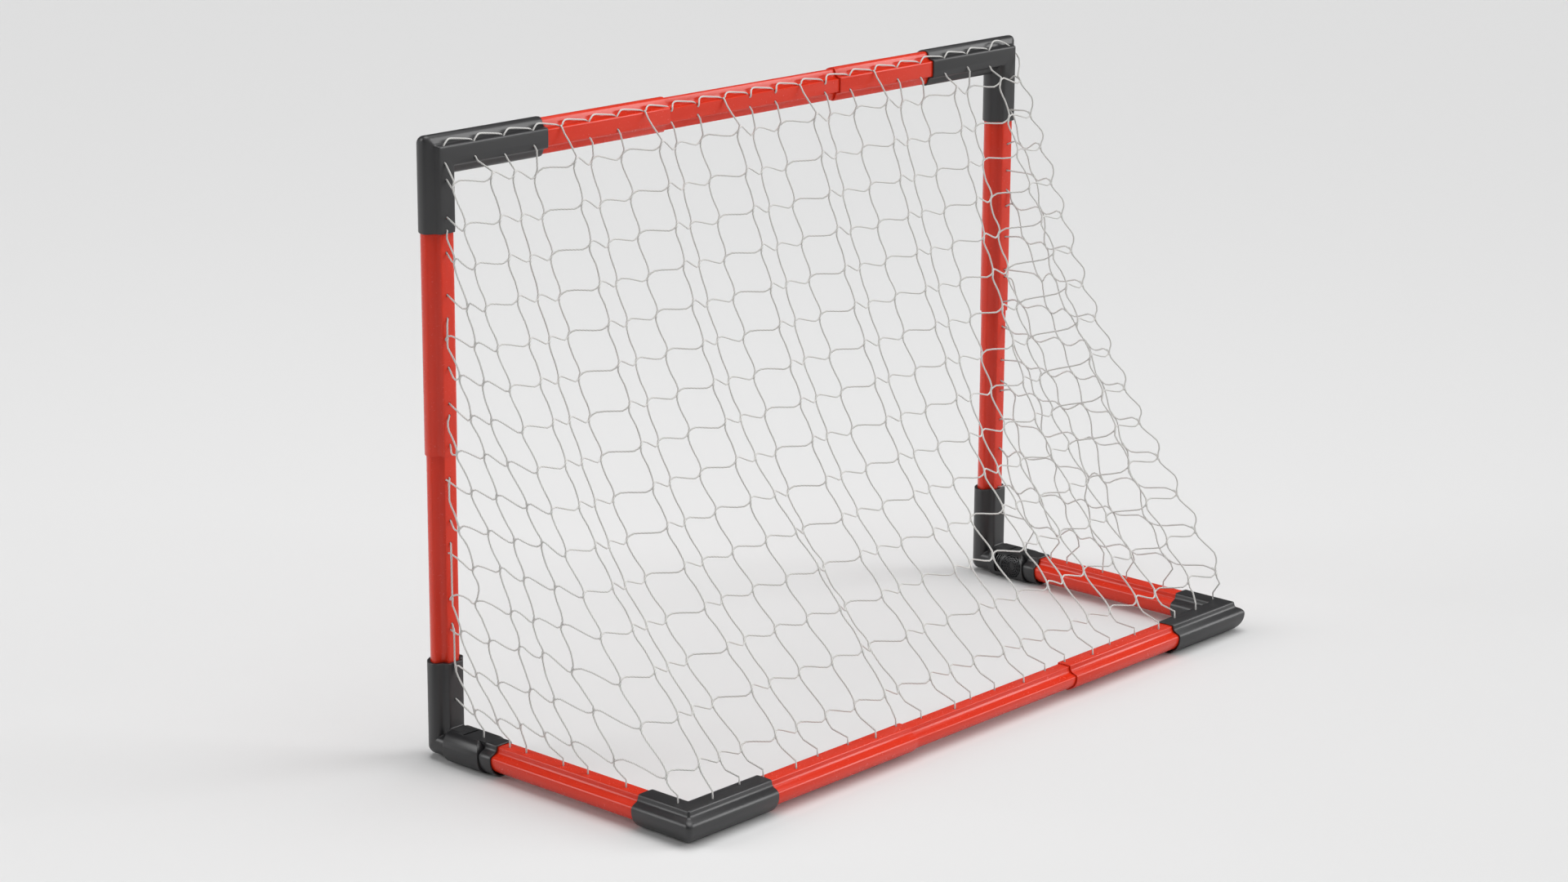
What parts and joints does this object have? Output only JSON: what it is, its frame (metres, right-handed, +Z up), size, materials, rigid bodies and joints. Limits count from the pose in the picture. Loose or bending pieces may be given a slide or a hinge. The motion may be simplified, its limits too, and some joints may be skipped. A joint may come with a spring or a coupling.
{
  "type": "folding hockey goal",
  "caption": "Free-standing folding hockey goal: tube front frame with a net, and a base frame that folds up about two hinges at the foot of the posts.",
  "frame": {"origin": "middle of the footprint, on the floor", "axes": "+Z up, X along the crossbar, the mouth of the goal faces -Y and the rear bar is at +Y"},
  "size_m": [1.1226, 0.46, 0.784],
  "materials": {
    "rail": "extruded gloss plastic rail",
    "connector": "moulded satin plastic",
    "pin": "moulded plastic pin",
    "net": "knitted white cord net"
  },
  "bodies": {
    "front_frame": {"top_corner_left": "connector", "post_upper_left": "rail", "post_lower_left": "rail", "bottom_corner_left": "connector", "hinge_pin_left": "pin", "net_side_left": "net", "top_corner_right": "connector", "post_upper_right": "rail", "post_lower_right": "rail", "bottom_corner_right": "connector", "hinge_pin_right": "pin", "net_side_right": "net", "crossbar_left": "rail", "crossbar_middle": "rail", "crossbar_right": "rail", "net_back": "net"},
    "base_frame": {"swivel_socket_left": "connector", "side_tube_left": "rail", "rear_corner_left": "connector", "swivel_socket_right": "connector", "side_tube_right": "rail", "rear_corner_right": "connector", "rear_bar_left": "rail", "rear_bar_middle": "rail", "rear_bar_right": "rail"}
  },
  "joints": [
    {"name": "base_fold", "type": "hinge", "parent": "front_frame", "child": "base_frame", "pos_m": [0, -0.147, 0.024], "axis": [1, 0, 0], "range_deg": [0, 90], "deforming": ["net_back", "net_side_left", "net_side_right"]}
  ]
}
